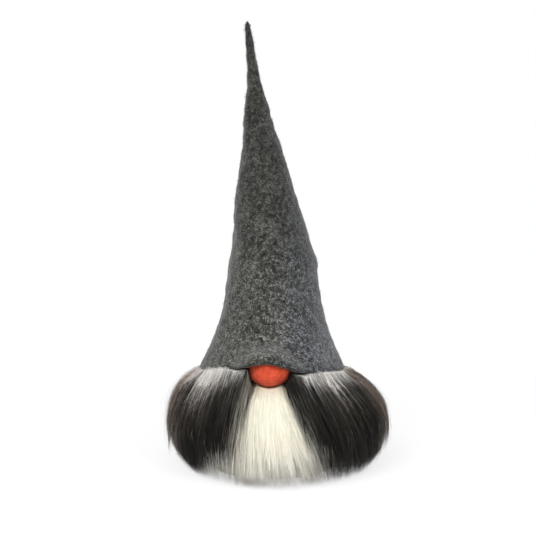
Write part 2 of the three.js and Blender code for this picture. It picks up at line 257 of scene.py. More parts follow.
def round_skin(name, rings, first_pole, last_pole, material, ring_shade_and_dirt=None):
    """A closed skin: rings of points, one row each from the first pole on, joined by quads and fans.

    ring_shade_and_dirt gives each point of the rings its number for the edge: how much darker the felt is
    there, by painted shade and, at the cut edge, dirt.
    """
    rows, columns = rings.shape[:2]
    points = np.concatenate([rings.reshape(-1, 3), [first_pole], [last_pole]])
    row, column = np.meshgrid(np.arange(rows - 1), np.arange(columns), indexing="ij")
    here = (row * columns + column).ravel()
    beside = (row * columns + (column + 1) % columns).ravel()
    ring = np.arange(columns)
    faces = [
        np.stack([here, beside, beside + columns, here + columns], axis=1),
        fan(rows * columns, ring[::-1]),
        fan(rows * columns + 1, ring + (rows - 1) * columns),
    ]
    edge = None if ring_shade_and_dirt is None else np.append(ring_shade_and_dirt.ravel(), [1, 0])
    return make_piece(name, points, faces, material, edge=edge)


# Strands

def strand_mesh(name, path, width, material, column, seed):
    """Strands with a flat three-sided section that narrows to a point.

    path is (strands, points, 3), and width is the section's size at the root of each. The section keeps
    most of its size, as 1 - 0.7 s^2 of the share s along the strand, and stands square to the path. The
    UV map puts a strand in its column, with its root at 0 and its tip at 1.
    """
    flatness, narrowing = 0.7, 0.7
    rng = np.random.default_rng(seed)
    count, stations = path.shape[:2]
    rings = stations - 1
    along = unit(np.gradient(path, axis=1))
    spin = unit(rng.normal(size=(count, 1, 3)))
    side = unit(np.cross(along, spin))
    across = np.cross(along, side)
    share = np.arange(rings) / rings
    size = 0.5 * width[:, None, None] * (1 - narrowing * share**2)[None, :, None]
    corners = []
    for turn in (90, 210, 330):
        c, s = math.cos(math.radians(turn)), math.sin(math.radians(turn)) * flatness
        corners.append(path[:, :rings] + size * (c * side[:, :rings] + s * across[:, :rings]))
    body = np.stack(corners, axis=2).reshape(count, rings * 3, 3)
    points = np.concatenate([body, path[:, -1:]], axis=1).reshape(-1, 3)

    per_strand = rings * 3 + 1
    k, j = np.meshgrid(np.arange(rings - 1), np.arange(3), indexing="ij")
    here, beside = (k * 3 + j).ravel(), (k * 3 + (j + 1) % 3).ravel()
    quads = np.stack([here, beside, beside + 3, here + 3], axis=1)
    last = (rings - 1) * 3
    tips = np.array([[last + j, last + (j + 1) % 3, per_strand - 1] for j in range(3)])
    base = np.array([[2, 1, 0]])
    start = (np.arange(count) * per_strand)[:, None, None]
    faces = [(f[None] + start).reshape(-1, f.shape[1]) for f in (quads, tips, base)]

    left, right = (column + 0.15) / COLUMNS, (column + 0.85) / COLUMNS
    middle = (left + right) / 2
    low, high = (k.ravel() + 0.05) / rings, (k.ravel() + 1) / rings
    tip_low, tip_high = np.full(3, (rings - 1 + 0.05) / rings), np.full(3, 0.995)

    def face_uv(*places):
        """Corners on the map: a column for each strand and a share along it for each face."""
        return np.stack([
            np.stack(np.broadcast_arrays(u[:, None], np.asarray(v)[None, :]), axis=-1) for u, v in places
        ], axis=2)

    uv = [
        face_uv((left, low), (right, low), (right, high), (left, high)),
        face_uv((left, tip_low), (right, tip_low), (middle, tip_high)),
        face_uv((left, [0.01]), (right, [0.01]), (middle, [0.03])),
    ]
    return make_piece(name, points, faces, material, uv)


# Materials

def math_node(operation, swapped=False):
    """A method that makes a Math node of a link and another value, or of that value and the link."""
    def method(self, other):
        first, second = (other, self) if swapped else (self, other)
        return self.nodes.node("ShaderNodeMath", first, second, operation=operation)
    return method


class Link:
    """An output of a node. Sums, differences, products and powers of links are Math nodes."""

    def __init__(self, nodes, socket):
        self.nodes = nodes
        self.socket = socket

    __add__ = math_node("ADD")
    __radd__ = math_node("ADD", True)
    __sub__ = math_node("SUBTRACT")
    __rsub__ = math_node("SUBTRACT", True)
    __mul__ = math_node("MULTIPLY")
    __rmul__ = math_node("MULTIPLY", True)
    __truediv__ = math_node("DIVIDE")
    __pow__ = math_node("POWER")
    most = math_node("MAXIMUM")
    least = math_node("MINIMUM")

    def __abs__(self):
        return self.nodes.node("ShaderNodeMath", self, operation="ABSOLUTE")

    def soft(self, low, high):
        """0 up to low and 1 from high on, with a soft step between."""
        steps = self, low, high, 0.0, 1.0
        return self.nodes.node("ShaderNodeMapRange", *steps, interpolation_type="SMOOTHSTEP")


class Nodes:
    """A node tree and the ways to add to it."""

    def __init__(self, tree):
        self.tree = tree

    def node(self, kind, *values, out=0, named=None, **settings):
        """A node with its settings made first, then its sockets by place or by name."""
        made = self.tree.nodes.new(kind)
        for key, value in settings.items():
            setattr(made, key, value)
        for place, value in [*enumerate(values), *(named or {}).items()]:
            self.feed(made.inputs[place], value)
        return Link(self, made.outputs[out])

    def feed(self, socket, value):
        """A link or a plain value into a socket."""
        if isinstance(value, Link):
            self.tree.links.new(value.socket, socket)
        else:
            if socket.type == "RGBA" and len(value) == 3:
                value = (*value, 1.0)
            socket.default_value = value

    def seen(self):
        """1 for rays from the camera, mirrored or let through, and 0 for those that only light."""
        rays = ("Is Camera Ray", "Is Glossy Ray", "Is Transmission Ray")
        camera, glossy, through = (self.node("ShaderNodeLightPath", out=ray) for ray in rays)
        return (camera + glossy + through).least(1.0)


class Sheet(Nodes):
    """The nodes of one material, with a Principled shader at their end."""

    def __init__(self, name, **fixed):
        self.material = bpy.data.materials.new(name)
        self.material.use_nodes = True
        super().__init__(self.material.node_tree)
        self.shader = self.tree.nodes["Principled BSDF"]
        for socket, value in fixed.items():
            self.shader.inputs[socket.replace("_", " ")].default_value = value

    def blend(self, first, second, share, kind="MIX"):
        """Colour first at share 0 and second at share 1."""
        sockets = {0: share, 6: first, 7: second}
        return self.node("ShaderNodeMix", out=2, data_type="RGBA", blend_type=kind, named=sockets)

    def tint(self, colour, share):
        """A colour times a number."""
        grey = self.node("ShaderNodeCombineColor", share, share, share)
        return self.blend(colour, grey, 1.0, "MULTIPLY")

    def ramp(self, value, *stops):
        """Colours between (place, colour) pairs."""
        made = self.node("ShaderNodeValToRGB", value)
        elements = made.socket.node.color_ramp.elements
        while len(elements) < len(stops):
            elements.new(1.0)
        for element, (place, colour) in zip(elements, stops):
            element.position = place
            element.color = (*colour, 1.0)
        return made

    def place(self):
        """The point on the piece, in metres."""
        return self.node("ShaderNodeTexCoord", out="Object")

    def part(self, vector, axis):
        """One of the three numbers of a vector."""
        return self.node("ShaderNodeSeparateXYZ", vector, out=axis)

    def stretched(self, vector, scale, turn):
        """A vector turned and then scaled along its axes."""
        size = [1 / share for share in scale]
        return self.node("ShaderNodeMapping", vector, (0, 0, 0), turn, size, vector_type="TEXTURE")

    def noise(self, place, scale, detail=2.0, roughness=0.5, distortion=0.0, line=False):
        """Smooth noise round a half, at a point or, with line, at a number."""
        return self.node(
            "ShaderNodeTexNoise",
            noise_dimensions="1D" if line else "3D",
            named={
                "W" if line else "Vector": place,
                "Scale": scale,
                "Detail": detail,
                "Roughness": roughness,
                "Distortion": distortion,
            },
        )

    def random(self, value):
        """A number from 0 to 1 that is the same for the same value."""
        return self.node("ShaderNodeTexWhiteNoise", noise_dimensions="1D", named={"W": value})

    def cells(self, vector, scale):
        """Distance to the nearest point of a random set, in cells."""
        return self.node("ShaderNodeTexVoronoi", out="Distance", named={"Vector": vector, "Scale": scale})

    def fibres(self, vector, *sets):
        """Thin winding lines: 1 along the line where a noise is a half, falling off on both sides.

        Two sets lie across each other, and each is given by its scale and its sharpness.
        """
        lines = []
        for (scale, sharpness), turn in zip(sets, ((0.3, 0.8, 0.1), (1.1, 0.2, 0.7))):
            noise = self.noise(self.stretched(vector, (1, 1, 1), turn), scale, 1.5, 0.5, 0.6)
            lines.append((1 - abs(noise - 0.5) * 4).most(0.0) ** sharpness)
        return lines[0].most(lines[1])

    def strand(self):
        """The number of the strand's column on the map, and the share of its length from root to tip."""
        uv = self.node("ShaderNodeUVMap", uv_map=STRAND_MAP)
        column = self.node("ShaderNodeMath", self.part(uv, 0) * COLUMNS, operation="FLOOR")
        return column, self.part(uv, 1)

    def finish(self, colour, height=None, depth=0.0003, strength=0.6):
        """The colour into the shader, and a height as bumps of a depth in metres."""
        self.feed(self.shader.inputs["Base Color"], colour)
        if height is not None:
            sockets = {"Strength": strength, "Distance": depth, "Height": height}
            self.feed(self.shader.inputs["Normal"], self.node("ShaderNodeBump", named=sockets))
        return self.material


WHITE = (1.0, 1.0, 1.0)
LIGHT_FIBRE = (0.36, 0.364, 0.357)
DARK_FIBRE = (0.005, 0.005, 0.0046)
WARM_CAST = (1.01, 1.0, 0.92)
COOL_CAST = (0.97, 0.98, 1.13)


def grey_felt():
    """Melange wool felt: short light and dark fibres lie every way over a cloudy grey. The felt is lighter
    at the brim than above, warmer on its left side and cooler on its right. Painted shade makes the left side
    of the brim darker, and the inside and the cut edge darker, with dirt at the edge as well. Painted shade
    also darkens the felt where it turns in under the fold.
    """
    sheet = Sheet(
        "grey_felt", Roughness=0.95, Sheen_Weight=0.34, Sheen_Roughness=0.4, Specular_IOR_Level=0.12
    )
    at = sheet.place()
    across, level = sheet.part(at, 0), sheet.part(at, 2)
    blotch = sheet.noise(at, 70, 3, 0.6)
    mottle = sheet.noise(at, 250, 3, 0.7)
    grain = sheet.noise(at, 800, 2, 0.6)
    turns = (0.2, 0.65, 0.1), (-0.3, -0.75, 0.4), (0.4, 1.45, 0.2), (1.2, 0.1, 0.3), (-1.2, 0.4, 0.0)
    lay = [sheet.noise(sheet.stretched(at, (1, 1, 0.24), turn), 1500, 1.5) for turn in turns]
    light = lay[0].most(lay[1]).most(lay[2]).soft(0.56, 0.72)
    dark = lay[3].most(lay[4]).soft(0.56, 0.70)
    base = sheet.ramp(
        0.25 * blotch + 0.40 * mottle + 0.35 * grain,
        (0.38, (0.006, 0.0063, 0.0058)),
        (0.50, (0.030, 0.0312, 0.0285)),
        (0.62, (0.092, 0.094, 0.090)),
    )
    brim = 1 - level.soft(0.08, 0.28)
    base = sheet.blend(base, LIGHT_FIBRE, light * mottle.soft(0.34, 0.62) * (0.50 + brim * 0.60))
    base = sheet.blend(base, DARK_FIBRE, dark * (0.45 + brim * 0.5))
    base = sheet.tint(base, 0.48 + brim * 0.44)
    # Painted shade: the left side of the brim is darker.
    base = sheet.tint(base, 1 - (-1 * across).soft(0.0, 0.05) * brim * 0.2)
    cast = sheet.blend(WARM_CAST, COOL_CAST, across.soft(-0.015, 0.04))
    base = sheet.blend(base, cast, 1.0, "MULTIPLY")
    # Painted shade, and dirt at the cut edge: the edge attribute darkens the inside, the cut edge and the
    # felt turned in under the fold.
    edge = sheet.node("ShaderNodeAttribute", attribute_name="edge", out="Fac")
    base = sheet.tint(base, 1 - edge * 0.6)
    return sheet.finish(base, mottle * 0.5 + grain * 0.35 + light * 0.4, 0.0008)


def fuzz(name, dark, pale, gloss, power=1.0):
    """Loose wool fibres, each of one colour between a dark and a pale one, by a random number's power."""
    sheet = Sheet(name, Roughness=0.8, Specular_IOR_Level=gloss)
    return sheet.finish(sheet.blend(dark, pale, sheet.random(sheet.strand()[0]) ** power))


def red_felt():
    """Needle-felted wool: warm orange-red with paler fibres and the small dents of the needle, darkened with
    painted shade. Painted light makes it lighter on both sides of its middle, which lies 3 mm to the left.
    """
    sheet = Sheet(
        "red_felt", Roughness=0.92, Sheen_Weight=0.6, Sheen_Roughness=0.5, Sheen_Tint=(1.0, 0.36, 0.24, 1.0),
        Specular_IOR_Level=0.15,
    )
    at = sheet.place()
    mottle = sheet.noise(at, 240, 3, 0.6)
    fine = sheet.noise(at, 1000, 2, 0.6)
    light = sheet.fibres(at, (520, 5), (600, 6))
    dent = 1 - sheet.cells(at, 430.0).soft(0.10, 0.32)
    base = sheet.ramp(
        mottle * 0.6 + fine * 0.4,
        (0.36, (0.27, 0.023, 0.010)),
        (0.50, (0.41, 0.044, 0.018)),
        (0.66, (0.53, 0.074, 0.031)),
    )
    base = sheet.blend(base, (0.76, 0.13, 0.06), light * 0.35)
    # Painted shade in the needle's dents.
    base = sheet.blend(base, (0.30, 0.032, 0.02), dent * 0.5)
    # Painted light: the sides of the nose are lighter.
    aside = abs(sheet.part(at, 0) + 0.003)
    base = sheet.tint(base, 1 + aside.soft(0.008, 0.018) * 0.5)
    return sheet.finish(base, mottle * 0.4 + fine * 0.4 - dent * 0.8, 0.0005)


DARK_HAIR = (0.0075, 0.0077, 0.0062)
BROWN_HAIR = (0.082, 0.059, 0.048)
SILVER_HAIR = (0.90, 0.88, 0.84)
SIDE_SILVER = (0.68, 0.62, 0.58)
TAUPE_HAIR = (0.34, 0.28, 0.25)
GREY_HAIR = (0.25, 0.23, 0.185)
RIM_HAIR = (0.42, 0.36, 0.33)
TIP_HAIR = (0.46, 0.41, 0.36)
FRINGE_HAIR = (0.96, 0.93, 0.85)
# Painted shade and a warm painted reflection of the nose at the beard's roots.
PAINTED_SHADE_CREAM = (0.80, 0.71, 0.55)
CREAM_HAIR = (0.94, 0.91, 0.78)
CREAM_LOW = (0.94, 0.92, 0.85)
BORDER_HAIR = (0.31, 0.275, 0.215)
CROSSING_HAIR = (0.04, 0.038, 0.032)

# Pale streaks in the dark hair: middle angle, half width, how far down the strand and how strong
STREAKS = [
    (-46, 15, 0.59, 2.0),
    (-31, 12, 0.52, 1.25),
    (-76, 28, 0.50, 1.7),
    (40, 11, 0.54, 1.4),
    (26, 10, 0.43, 0.95),
    (56, 12, 0.47, 1.2),
    (71, 13, 0.33, 1.2),
    (96, 12, 0.38, 1.0),
    (128, 22, 0.50, 0.5),
    (-118, 20, 0.50, 0.45),
    (176, 14, 0.55, 0.5),
]
STREAK_ROOM = 20


def dark_hair(name, start, span, under):
    """Pelt hair: near black, brown at the sides, pale streaks from the root, and lone pale strands.

    A streak is (1 - ((angle - middle) / half width)^2)^0.6, and fades out down the strand. The lowest tips
    at the front are pale, most of all in the under hair. Roots beside the nose are darkened with painted
    shadow from the brim.
    """
    sheet = Sheet(name, Roughness=0.5, Specular_IOR_Level=0.14)
    column, along = sheet.strand()
    angle = column * (span / COLUMNS) + start
    side, aside = abs(angle), abs(angle - NOSE_ANGLE)
    own, other, third = sheet.random(column), sheet.random(column + 0.37), sheet.random(column + 0.71)
    lock = sheet.noise(angle, 1.3, 2, 0.6, line=True)
    brown = 1 - abs(side - 92).soft(10, 40)
    base = sheet.blend(DARK_HAIR, BROWN_HAIR, (brown * 0.85 + (lock - 0.45) * 0.5).most(0.0).least(1.0))
    base = sheet.tint(base, 0.5 + own * 0.8 + third**8 * 6)

    here = along + (other - 0.5) * 0.22 + (lock - 0.5) * 0.25
    pale = own.soft(0.92, 0.94) * (1 - along.soft(0.70, 0.98)) * 0.5
    for middle, half, reach, strength in STREAKS:
        if start - STREAK_ROOM < middle + half and middle - half < start + span + STREAK_ROOM:
            away = (angle - middle) / half
            fade = 1 - here.soft(reach * 0.62, reach * 1.15)
            pale = pale.most((1 - away * away).most(0.0) ** 0.6 * fade * strength)
    silver = sheet.blend(SILVER_HAIR, TAUPE_HAIR, here.soft(0.40, 0.60))
    silver = sheet.blend(silver, SIDE_SILVER, side.soft(54, 72))
    base = sheet.blend(base, silver, (pale.least(1.0) * (0.72 + third * 0.46)).least(1.0))

    on_left = start < NOSE_ANGLE
    if on_left:
        cheek = (1 - (NOSE_ANGLE - angle).soft(13.0, 16.0)) * other.soft(0.35, 0.45)
        base = sheet.blend(base, GREY_HAIR, cheek * along.soft(0.34, 0.6))
    rim = side.soft(62, 84) * own.soft(0.58, 0.70) * (1 - along.soft(0.5, 0.9))
    base = sheet.blend(base, RIM_HAIR, rim * (0.6 if on_left else 0.3))
    tips = side.soft(52, 74) * third.soft(0.66, 0.76) * along.soft(0.62, 0.92)
    base = sheet.blend(base, TIP_HAIR, tips * 0.8)
    # Painted shadow of the brim on the roots beside the nose.
    beside = 1 - aside.soft(26, 38)
    base = sheet.tint(base, 1 - beside * (1 - along.soft(0.10, 0.34)) * 0.8)

    low, centre, inner, outer, most = (0.79, -17, 27, 39, 1.0) if under else (0.81, -3, 13, 17, 0.5)
    lowered = aside.soft(18, 42) * 0.085
    fringe = (along + (other - 0.5) * 0.12 - lowered).soft(low, low + 0.10)
    fringe = fringe * (1 - abs(angle - centre).soft(inner, outer)) * most
    return sheet.finish(sheet.blend(base, FRINGE_HAIR, fringe))


def pale_hair(name, start, span):
    """Beard hair: warm cream, greyer towards the tips and the borders, with a few dark strands there. Painted
    shade darkens its roots, the tips between locks and the borders' roots, with a warm painted reflection of
    the nose at the roots.
    """
    sheet = Sheet(name, Roughness=0.5, Specular_IOR_Level=0.25)
    column, along = sheet.strand()
    angle = column * (span / COLUMNS) + start
    own, other = sheet.random(column), sheet.random(column + 0.37)
    lock = sheet.noise(angle, 2.2, 2, 0.6, line=True)
    # Painted shade and reflection at the roots, fading out down the strand.
    base = sheet.blend(PAINTED_SHADE_CREAM, CREAM_HAIR, along.soft(0.12, 0.48))
    base = sheet.blend(base, CREAM_LOW, (along + (lock - 0.5) * 0.3).soft(0.72, 0.98))
    base = sheet.tint(base, 0.94 + own * 0.08)
    # Painted shade between the locks at the tips.
    painted_gap_shade = along.soft(0.80, 0.98) * lock.soft(0.46, 0.66)
    base = sheet.tint(base, 1 - painted_gap_shade * 0.3)
    border = (abs(angle - NOSE_ANGLE) + (other - 0.5) * 4.5).soft(7.8, 12.2)
    base = sheet.blend(base, BORDER_HAIR, border * (0.85 - along.soft(0.60, 0.90) * 0.6))
    # Painted shade at the roots of the borders, beside the nose.
    base = sheet.tint(base, 1 - border * (1 - along.soft(0.12, 0.36)) * 0.65)
    return sheet.finish(sheet.blend(base, CROSSING_HAIR, border * own.soft(0.77, 0.81)))


def woven(name, colour, dark, pitch):
    """Plain weave: two sets of threads that cross, raised where each lies on top, read round the body."""
    sheet = Sheet(name, Roughness=0.9, Sheen_Weight=0.15, Specular_IOR_Level=0.2)
    at = sheet.place()
    waves = [
        sheet.node("ShaderNodeMath", sheet.part(at, axis) * (math.pi / pitch), operation="SINE")
        for axis in (0, 1, 2)
    ]
    weave = (abs(waves[0]) + abs(waves[1])) * 0.3 + abs(waves[2]) * 0.4
    patch = sheet.noise(at, 90, 3, 0.6)
    fine = sheet.noise(at, 1200, 2)
    base = sheet.blend(dark, colour, (weave * 0.6 + patch * 0.3 + fine * 0.25).least(1.0))
    return sheet.finish(base, weave + fine * 0.3, strength=0.5)


def matted(name, colour, dark, scale, roughness=0.95, depth=0.0006):
    """Matted fibres: thin winding lines of a lighter tone over a darker, cloudy ground."""
    sheet = Sheet(name, Roughness=roughness, Sheen_Weight=0.1, Specular_IOR_Level=0.15)
    at = sheet.place()
    cloud = sheet.noise(at, scale * 0.25, 3, 0.6)
    lines = sheet.fibres(at, (scale, 4), (scale * 1.3, 5))
    base = sheet.blend(dark, colour, (cloud * 0.7 + lines * 0.5).least(1.0))
    return sheet.finish(base, cloud + lines * 0.6, depth)


def grained(name, colour, dark, scale):
    """Fine grains or pores: a cell pattern over soft patches."""
    sheet = Sheet(name, Roughness=0.85, Specular_IOR_Level=0.25)
    at = sheet.place()
    cells = sheet.cells(at, scale)
    patch = sheet.noise(at, scale * 0.08, 3, 0.6)
    base = sheet.blend(dark, colour, (cells * 0.7 + patch * 0.6).least(1.0))
    return sheet.finish(base, cells)


# Shapes that several pieces share

def hat_radius(height):
    """Outside radius of the hat: waist + (brim - waist) s^1.35 below the waist, where s is the share of the
    way down to the brim, two straight cones, then a slim tip that is rounded as sqrt(1 - s^3).
    """
    flare = WAIST_RADIUS + (BRIM_RADIUS - WAIST_RADIUS) * np.clip(
        (WAIST_HEIGHT - height) / (WAIST_HEIGHT - BRIM_HEIGHT), 0, 1
    ) ** FLARE_POWER
    head = mix(WAIST_RADIUS, SHOULDER_RADIUS, (height - WAIST_HEIGHT) / (SHOULDER_HEIGHT - WAIST_HEIGHT))
    cone = mix(SHOULDER_RADIUS, KINK_RADIUS, (height - SHOULDER_HEIGHT) / (KINK_HEIGHT - SHOULDER_HEIGHT))
    up = np.clip((height - KINK_HEIGHT) / (HAT_TOP - KINK_HEIGHT), 0, 1)
    tip = TIP_RADIUS * np.sqrt(1 - up**3) + (KINK_RADIUS - TIP_RADIUS) * (1 - up) ** 5
    return np.select(
        [height <= WAIST_HEIGHT, height <= SHOULDER_HEIGHT, height <= KINK_HEIGHT], [flare, head, cone], tip
    )


def lean_at(height):
    """How far the hat's middle has moved to the left at a height, growing almost in proportion to it."""
    up = np.clip((height - LEAN_START) / (HAT_TOP - LEAN_START), 0, 1)
    return -LEAN * up**LEAN_POWER


def arch(angle, lift=ARCH_LIFT):
    """The rise over the nose, falling from the lift to 0 on either side."""
    return lift * (1 - smoothstep(np.abs(angle - NOSE_ANGLE), 0, ARCH_END))


def bulge(angle):
    """The felt's bulge before the nose, the same across it and falling to 0 on either side."""
    return ARCH_BULGE * (1 - smoothstep(np.abs(angle - NOSE_ANGLE), BULGE_FLAT, BULGE_SIDE))


def front_rise(angle):
    """The brim's rise towards the front, its lift times ((1 + cos angle) / 2)^1.5, and a hump on the left."""
    hump = 1 - smoothstep(np.abs(signed(angle - LEFT_ANGLE)), 0, LEFT_REACH)
    return FRONT_LIFT * ((1 + cosd(angle)) / 2) ** 1.5 + LEFT_LIFT * hump


def draped(angle, radius, height):
    """A point of the felt after its brim is raised, bulged over the nose and leaned."""
    fade = 1 - smoothstep(height, BRIM_HEIGHT, LIFT_END)
    swell = bulge(angle) * np.clip((BULGE_END - height) / (BULGE_END - BRIM_HEIGHT), 0, 1)
    raised = height + (front_rise(angle) + arch(angle)) * fade
    points = on_round(angle, radius + swell, raised)
    points[..., 0] += lean_at(height)
    return points


def hat_inner_radius(height):
    """Inside radius of the hat, which closes in a dome below the kink."""
    up = np.clip((height - (CAVITY_TOP - CAVITY_DOME)) / CAVITY_DOME, 0, 1)
    return (hat_radius(height) - FELT_WALL) * np.sqrt(1 - up**2)


def body_radius(height):
    """Outside radius of the stuffed bag: straight, then filling the hat, then a crown rounded as
    (1 - s^2.6)^(1 / 2.6) of the share s of its height.
    """
    fit = np.minimum(BODY_RADIUS, hat_radius(height) - FELT_WALL - HEAD_GAP)
    crown_start = HEAD_TOP - HEAD_CROWN
    crown = np.minimum(BODY_RADIUS, hat_radius(np.asarray(crown_start)) - FELT_WALL - HEAD_GAP)
    up = np.clip((height - crown_start) / HEAD_CROWN, 0, 1)
    return np.where(height <= crown_start, fit, crown * (1 - up**CROWN_POWER) ** (1 / CROWN_POWER))


def hair_top(angle):
    """Level of the hair's top, which follows the brim and rises a little into its arch."""
    return BRIM_HEIGHT + front_rise(angle) + arch(angle, HAIR_LIFT) - UNDER_BRIM


def over_fold(angle, height):
    """Height over the ridge of the fold, and the share 1 - (angle / half)^2 by which the ridge arches up."""
    share = np.clip(1 - (np.abs(signed(angle - FOLD_ANGLE)) / FOLD_HALF) ** 2, 0, 1)
    return height - (BRIM_HEIGHT + FOLD_RISE * share), share


def nose_fold(angle, height):
    """How far the felt stands out in the fold over the nose, in mm beyond its plain swell.

    The fold's ridge arches over the nose from one side of the brim to the other. The felt turns in under it
    towards the nose, and a shallow crease runs above it.
    """
    above, share = over_fold(angle, height)
    ridge = bell(above, 0, np.where(above < 0, 7.0, 6.5))
    crease = bell(above, 13, 5.0)
    tuck = smoothstep(-above, 3, 11)
    return smoothstep(share, 0.0, 0.7) * (FOLD_OUT * ridge - FOLD_CREASE * crease - FOLD_TUCK * tuck)


def fold_shade(angle, height):
    """Painted shade on the felt where it turns in under the fold, 6 mm below the ridge: how much darker it
    is.
    """
    above, share = over_fold(angle, height)
    return 0.6 * smoothstep(share, 0.0, 0.5) * bell(above + SHADE_BELOW, 0, 2.2)


def brim_reach(angle):
    """Radius of the brim's outside and of the fold above it, the greatest at an angle as the hat turns."""
    turned = [angle + turn for turn in HAT_TURNS]
    out = [bulge(a) + np.maximum(nose_fold(a, BRIM_HEIGHT + FOLD_ABOVE), 0) for a in turned]
    return BRIM_RADIUS + np.max(out, axis=0)


# Hat, nose and body

def hat_skin_point(angle, height):
    """The outside of the hat: its plain form with the fold over the nose and three slack forms.

    The felt swells where the stuffed head ends inside, most of all on the right. One crease crosses the
    front. Spiral folds, a sine of twice the angle and 1.1 times the height, come and go along the cone.
    """
    head_end = HEAD_SWELL * bell(height, HEAD_TOP - 2, 9) * (1 + 0.5 * cosd(angle - 80))
    crease = -CREASE_DEPTH * bell(height, CREASE_HEIGHT + 0.05 * signed(angle - 10), 2.2)
    crease = crease * bell(signed(angle - 5), 0, 55)
    spiral = SPIRAL_DEPTH * sind(angle * 2 + height * 1.1) * smoothstep(height, 215, 320)
    spiral = spiral * (1 - smoothstep(height, 345, 385)) * 0.7
    return draped(angle, hat_radius(height) + head_end + crease + spiral + nose_fold(angle, height), height)


def with_relief(points, depth_share):
    """Points moved outwards from the hat's middle line by the felt's relief, a sum of wide dents of 46 mm,
    small lumps of 13 mm and a fine pebble of 4.2 mm.
    """
    middle = points.copy()
    middle[..., 0] = lean_at(points[..., 2])
    middle[..., 1] = 0
    wide = lumps(points * [1, 1, 0.7], 46, 11)
    small = lumps(points, 13, 12)
    pebble = lumps(points, 4.2, 13, 40)
    relief = depth_share * (0.75 * wide + 0.32 * small + 0.13 * pebble)
    return points + unit(points - middle) * relief[..., None]


def make_hat(felt):
    """The hat as one closed skin: down the hollow from its dome, round the brim's edge and up the outside."""
    around = 200
    angle = signed(np.arange(around) * 360 / around)[None, :]
    low = BRIM_HEIGHT + FELT_WALL / 2
    dome = CAVITY_TOP - CAVITY_DOME
    inner_height = np.concatenate([
        np.linspace(low, dome, 64),
        CAVITY_TOP - CAVITY_DOME * (1 - sind(np.linspace(0, 90, 8)[1:-1])),
    ])[::-1, None]
    inner = draped(angle, hat_inner_radius(inner_height) + nose_fold(angle, inner_height), inner_height)
    inner = with_relief(inner, 0.35)

    turn = np.linspace(0, 180, 9)[1:-1, None]
    edge_radius = BRIM_RADIUS - FELT_WALL / 2 * (1 + cosd(turn))
    edge_height = BRIM_HEIGHT + FELT_WALL / 2 * (1 - sind(turn))
    edge = with_relief(draped(angle, edge_radius + nose_fold(angle, edge_height), edge_height), 0.7)

    tip = HAT_TOP - (HAT_TOP - TIP_ROUND) * cosd(np.linspace(0, 90, 18)[1:-1])
    outer_height = np.concatenate([np.linspace(low, TIP_ROUND, 215), tip])[:, None]
    outer = hat_skin_point(angle, outer_height)
    outer = mix(with_relief(outer, 1.0), outer, smoothstep(outer_height, 396, 403)[..., None])

    # Painted shade for each point, and dirt at the cut edge: the inside and the cut edge of the brim, and the
    # felt turned in under the fold, are darker.
    shade_and_dirt = np.concatenate([
        np.ones((len(inner) + len(edge), around)),
        np.maximum(1 - smoothstep(outer_height, low, low + 1.5), fold_shade(angle, outer_height)),
    ])
    first = [lean_at(CAVITY_TOP), 0, CAVITY_TOP]
    last = [lean_at(HAT_TOP), 0, HAT_TOP]
    return round_skin("hat_felt", np.concatenate([inner, edge, outer]), first, last, felt, shade_and_dirt)


def make_fuzz(name, material, shape, first, second, rng, length, lift, width, seed):
    """Short curved fibres that start in a surface, run along it one way and rise a little from it.

    The surface is a function of two numbers, and first and second give the place of each fibre's root.
    """
    step = 0.2
    here = shape(first, second)
    right = unit(shape(first + step, second) - here)
    up = unit(shape(first, second + step) - here)
    out = unit(np.cross(right, up))
    count = len(here)
    way = rng.uniform(0, 2 * math.pi, count)[:, None]
    along = np.cos(way) * right + np.sin(way) * up
    bend = np.cross(out, along) * rng.normal(0, 0.5, count)[:, None]
    reach = (length * rng.uniform(0.5, 1.3, count))[:, None, None]
    rise = (lift * rng.gamma(1.6, 0.6, count))[:, None, None]
    share = np.linspace(0, 1, 3)[None, :, None]
    path = (
        here[:, None] - 0.15 * out[:, None]
        + reach * share * along[:, None]
        + reach * share**2 * bend[:, None]
        + rise * np.sin(share * 2.2) * out[:, None]
    )
    column = rng.integers(0, COLUMNS, count)
    return strand_mesh(name, path, np.full(count, width), material, column, seed)


def make_hat_fuzz(material, count=9000):
    """Loose fibres all over the outside of the hat, thicker at the brim than at the tip."""
    rng = np.random.default_rng(21)
    height = mix(BRIM_HEIGHT + 4, HAT_TOP - 3, rng.uniform(0, 1, count) ** 1.35)
    angle = rng.uniform(-180, 180, count)

    def skin(a, h):
        return with_relief(hat_skin_point(a, h), 1.0)

    return make_fuzz("hat_fuzz", material, skin, angle, height, rng,
                     length=3.4, lift=0.55, width=0.16, seed=22)


def nose_point(turn, rise):
    """The nose: an ellipsoid by longitude and latitude, with lumps, turned to its place on the body."""
    a, b = np.radians(turn), np.radians(rise)
    ball = np.stack([np.cos(b) * np.sin(a), -np.cos(b) * np.cos(a), np.sin(b) + 0 * a], axis=-1)
    ball = ball * (1 + 0.018 * lumps(ball, 0.9, 31) + 0.008 * lumps(ball, 0.28, 32))[..., None]
    flat = ball * (NOSE_HALF - 0.3)
    c, s = math.cos(math.radians(NOSE_ANGLE)), math.sin(math.radians(NOSE_ANGLE))
    x = c * flat[..., 0] - s * flat[..., 1]
    y = s * flat[..., 0] + c * flat[..., 1]
    return np.stack([x, y, flat[..., 2]], axis=-1) + on_round(NOSE_ANGLE, NOSE_REACH, NOSE_HEIGHT)


def off_body(points, gap=0.3):
    """Points inside the body's round are moved out to it, square to its axis."""
    radius = np.hypot(points[..., 0], points[..., 1])
    grow = np.maximum((body_radius(points[..., 2]) + gap) / np.maximum(radius, 1e-6), 1)
    return points * np.stack([grow, grow, np.ones_like(grow)], axis=-1)


